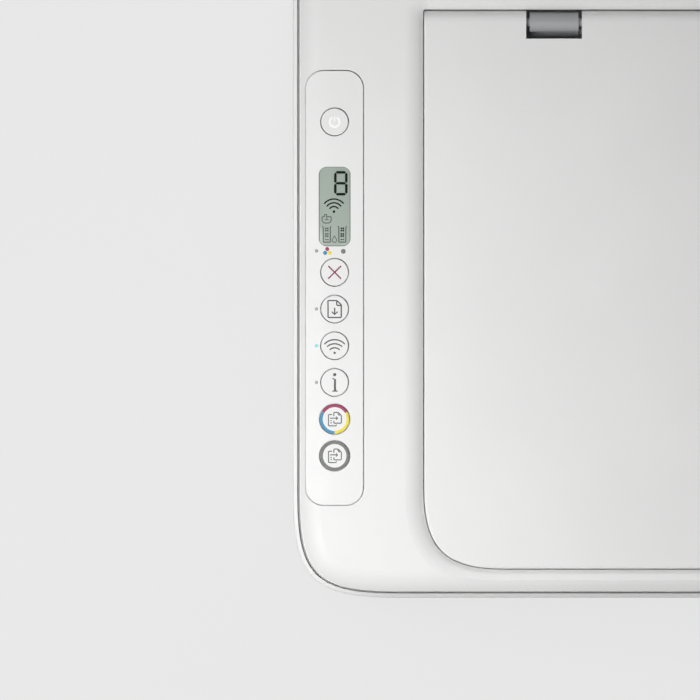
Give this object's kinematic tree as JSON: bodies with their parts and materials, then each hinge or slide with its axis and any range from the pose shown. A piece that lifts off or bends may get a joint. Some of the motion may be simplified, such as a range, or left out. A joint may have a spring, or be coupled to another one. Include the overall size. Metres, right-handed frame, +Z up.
{
  "type": "inkjet printer",
  "caption": "Low white desktop all-in-one inkjet printer: flatbed scanner lid, left-hand key panel with small display, rear paper feed, front ink door and output tray.",
  "frame": {"origin": "on the desk, under the middle of the printer", "axes": "+Z up, +X to the right of a user who faces the front, front faces -Y"},
  "size_m": [0.425, 0.304, 0.154],
  "materials": {
    "white_shell": "fine satin",
    "lid_white": "fine matte",
    "panel_white": "satin",
    "key_white": "satin",
    "light_grey": "matte",
    "dark_grey": "matte",
    "black_plastic": "satin",
    "cartridge_grey": "satin",
    "lcd": "satin",
    "lens": "clear lens",
    "circuit_board": "solder mask",
    "gear_white": "natural acetal",
    "sheet_steel": "zinc plated",
    "roller_steel": "ground",
    "rubber": "matte",
    "glass": "polished",
    "pad": "foam with a smooth white face",
    "felt": "felt"
  },
  "bodies": {
    "printer_body": {"base_pan": "dark_grey", "feet": "rubber", "lower_housing": "white_shell", "top_cover": "white_shell", "scanner_base": "dark_grey", "scanner_glass": "glass", "scan_guide": "gear_white", "control_panel": "panel_white", "display": "lcd", "panel_board": "circuit_board", "indicator_lights": "lens", "key_switches": "black_plastic", "lid_hinges": "light_grey", "rear_chute": "light_grey", "output_tray": "light_grey", "engine_frame": "sheet_steel", "carriage_motor": "sheet_steel", "feed_motor": "sheet_steel", "drive_belt": "rubber", "platen": "dark_grey", "waste_ink_pad": "felt", "service_station": "dark_grey", "main_board": "circuit_board", "power_supply": "dark_grey", "power_inlet": "black_plastic", "usb_socket": "sheet_steel", "housing_screws": "sheet_steel"},
    "scanner_lid": {"scanner_lid": "lid_white", "lid_pad": "pad"},
    "scan_head": {"scan_head": "dark_grey"},
    "scan_pinion": {"scan_pinion": "gear_white"},
    "power_button": {"power_button": "key_white"},
    "cancel_button": {"cancel_button": "key_white"},
    "resume_button": {"resume_button": "key_white"},
    "wireless_button": {"wireless_button": "key_white"},
    "information_button": {"information_button": "key_white"},
    "color_copy_button": {"color_copy_button": "key_white"},
    "black_copy_button": {"black_copy_button": "key_white"},
    "input_tray": {"input_tray": "white_shell"},
    "input_shield": {"input_shield": "white_shell"},
    "left_guide": {"left_guide": "light_grey"},
    "right_guide": {"right_guide": "light_grey"},
    "guide_pinion": {"guide_pinion": "gear_white"},
    "ink_door": {"ink_door": "white_shell"},
    "tray_extender": {"tray_extender": "white_shell"},
    "paper_stop": {"paper_stop": "white_shell"},
    "carriage": {"carriage": "dark_grey", "color_cartridge": "cartridge_grey", "black_cartridge": "black_plastic"},
    "motor_pulley": {"motor_pulley": "gear_white"},
    "idler_pulley": {"idler_pulley": "gear_white"},
    "feed_roller": {"feed_roller": "roller_steel", "feed_gear": "gear_white"},
    "motor_gear": {"motor_gear": "gear_white"},
    "transfer_gear": {"transfer_gear": "gear_white"},
    "output_roller": {"output_roller": "roller_steel", "output_gear": "gear_white"},
    "pinch_rollers": {"pinch_rollers": "rubber"},
    "pickup_roller": {"pickup_roller": "rubber"},
    "cap_sled": {"cap_sled": "black_plastic"}
  },
  "joints": [
    {"name": "lid_hinge", "type": "hinge", "parent": "printer_body", "child": "scanner_lid", "pos_m": [0.0218, 0.0962, 0.147], "axis": [-1, 0, 0], "range_deg": [0, 85]},
    {"name": "scan_slide", "type": "slide", "parent": "printer_body", "child": "scan_head", "axis": [1, 0, 0], "range_m": [0, 0.3]},
    {"name": "scan_pinion_spin", "type": "hinge", "parent": "scan_head", "child": "scan_pinion", "pos_m": [-0.136, -0.008, 0.11], "axis": [0, 0, 1], "continuous": true},
    {"name": "power_press", "type": "slide", "parent": "printer_body", "child": "power_button", "axis": [0, 0, -1], "range_m": [0, 0.0008], "stiffness_N_per_m": 500, "springref_m": -0.001},
    {"name": "cancel_press", "type": "slide", "parent": "printer_body", "child": "cancel_button", "axis": [0, 0, -1], "range_m": [0, 0.0008], "stiffness_N_per_m": 500, "springref_m": -0.001},
    {"name": "resume_press", "type": "slide", "parent": "printer_body", "child": "resume_button", "axis": [0, 0, -1], "range_m": [0, 0.0008], "stiffness_N_per_m": 500, "springref_m": -0.001},
    {"name": "wireless_press", "type": "slide", "parent": "printer_body", "child": "wireless_button", "axis": [0, 0, -1], "range_m": [0, 0.0008], "stiffness_N_per_m": 500, "springref_m": -0.001},
    {"name": "information_press", "type": "slide", "parent": "printer_body", "child": "information_button", "axis": [0, 0, -1], "range_m": [0, 0.0008], "stiffness_N_per_m": 500, "springref_m": -0.001},
    {"name": "color_copy_press", "type": "slide", "parent": "printer_body", "child": "color_copy_button", "axis": [0, 0, -1], "range_m": [0, 0.0008], "stiffness_N_per_m": 500, "springref_m": -0.001},
    {"name": "black_copy_press", "type": "slide", "parent": "printer_body", "child": "black_copy_button", "axis": [0, 0, -1], "range_m": [0, 0.0008], "stiffness_N_per_m": 500, "springref_m": -0.001},
    {"name": "input_tray_hinge", "type": "hinge", "parent": "printer_body", "child": "input_tray", "pos_m": [0, 0.1486, 0.1494], "axis": [1, 0, 0], "range_deg": [0, 160]},
    {"name": "input_shield_hinge", "type": "hinge", "parent": "printer_body", "child": "input_shield", "pos_m": [0, 0.1095, 0.1504], "axis": [1, 0, 0], "range_deg": [0, 95]},
    {"name": "left_guide_slide", "type": "slide", "parent": "printer_body", "child": "left_guide", "axis": [1, 0, 0], "range_m": [0, 0.052]},
    {"name": "right_guide_slide", "type": "slide", "parent": "printer_body", "child": "right_guide", "axis": [-1, 0, 0], "range_m": [0, 0.052]},
    {"name": "guide_pinion_spin", "type": "hinge", "parent": "printer_body", "child": "guide_pinion", "pos_m": [0, 0.136, 0.091], "axis": [0, 1, 0], "range_deg": [0, 375]},
    {"name": "ink_door_hinge", "type": "hinge", "parent": "printer_body", "child": "ink_door", "pos_m": [0, -0.1465, 0.0565], "axis": [1, 0, 0], "range_deg": [0, 95]},
    {"name": "tray_extender_slide", "type": "slide", "parent": "printer_body", "child": "tray_extender", "axis": [0, -1, 0], "range_m": [0, 0.07]},
    {"name": "paper_stop_hinge", "type": "hinge", "parent": "tray_extender", "child": "paper_stop", "pos_m": [0, -0.1466, 0.0185], "axis": [1, 0, 0], "range_deg": [0, 100]},
    {"name": "carriage_slide", "type": "slide", "parent": "printer_body", "child": "carriage", "axis": [-1, 0, 0], "range_m": [0, 0.3]},
    {"name": "motor_pulley_spin", "type": "hinge", "parent": "printer_body", "child": "motor_pulley", "pos_m": [0.174, -0.012, 0.078], "axis": [0, 1, 0], "continuous": true},
    {"name": "idler_pulley_spin", "type": "hinge", "parent": "printer_body", "child": "idler_pulley", "pos_m": [-0.174, -0.012, 0.078], "axis": [0, 1, 0], "continuous": true},
    {"name": "feed_roller_spin", "type": "hinge", "parent": "printer_body", "child": "feed_roller", "pos_m": [0, 0.005, 0.042], "axis": [1, 0, 0], "continuous": true},
    {"name": "motor_gear_spin", "type": "hinge", "parent": "printer_body", "child": "motor_gear", "pos_m": [-0.196, 0.021, 0.06971], "axis": [1, 0, 0], "continuous": true},
    {"name": "transfer_gear_spin", "type": "hinge", "parent": "printer_body", "child": "transfer_gear", "pos_m": [-0.196, -0.046, 0.042], "axis": [1, 0, 0], "continuous": true},
    {"name": "output_roller_spin", "type": "hinge", "parent": "printer_body", "child": "output_roller", "pos_m": [0, -0.095, 0.042], "axis": [1, 0, 0], "continuous": true},
    {"name": "pinch_rollers_spin", "type": "hinge", "parent": "printer_body", "child": "pinch_rollers", "pos_m": [0, 0.005, 0.05105], "axis": [1, 0, 0], "continuous": true},
    {"name": "pickup_roller_spin", "type": "hinge", "parent": "printer_body", "child": "pickup_roller", "pos_m": [0, 0.1024, 0.072], "axis": [1, 0, 0], "continuous": true},
    {"name": "cap_sled_slide", "type": "slide", "parent": "printer_body", "child": "cap_sled", "axis": [0, 0, -1], "range_m": [0, 0.005], "stiffness_N_per_m": 200, "springref_m": -0.004}
  ],
  "couplings": [
    {"joint": "scan_pinion_spin", "follows": "scan_slide", "rad_per_m": -142.86},
    {"joint": "right_guide_slide", "follows": "left_guide_slide", "ratio": 1},
    {"joint": "guide_pinion_spin", "follows": "left_guide_slide", "rad_per_m": 125},
    {"joint": "motor_pulley_spin", "follows": "carriage_slide", "rad_per_m": 153.85},
    {"joint": "idler_pulley_spin", "follows": "carriage_slide", "rad_per_m": 153.85},
    {"joint": "motor_gear_spin", "follows": "feed_roller_spin", "ratio": -3.5714},
    {"joint": "transfer_gear_spin", "follows": "feed_roller_spin", "ratio": -0.96154},
    {"joint": "output_roller_spin", "follows": "feed_roller_spin", "ratio": 1.087},
    {"joint": "pinch_rollers_spin", "follows": "feed_roller_spin", "ratio": -2.0339}
  ]
}
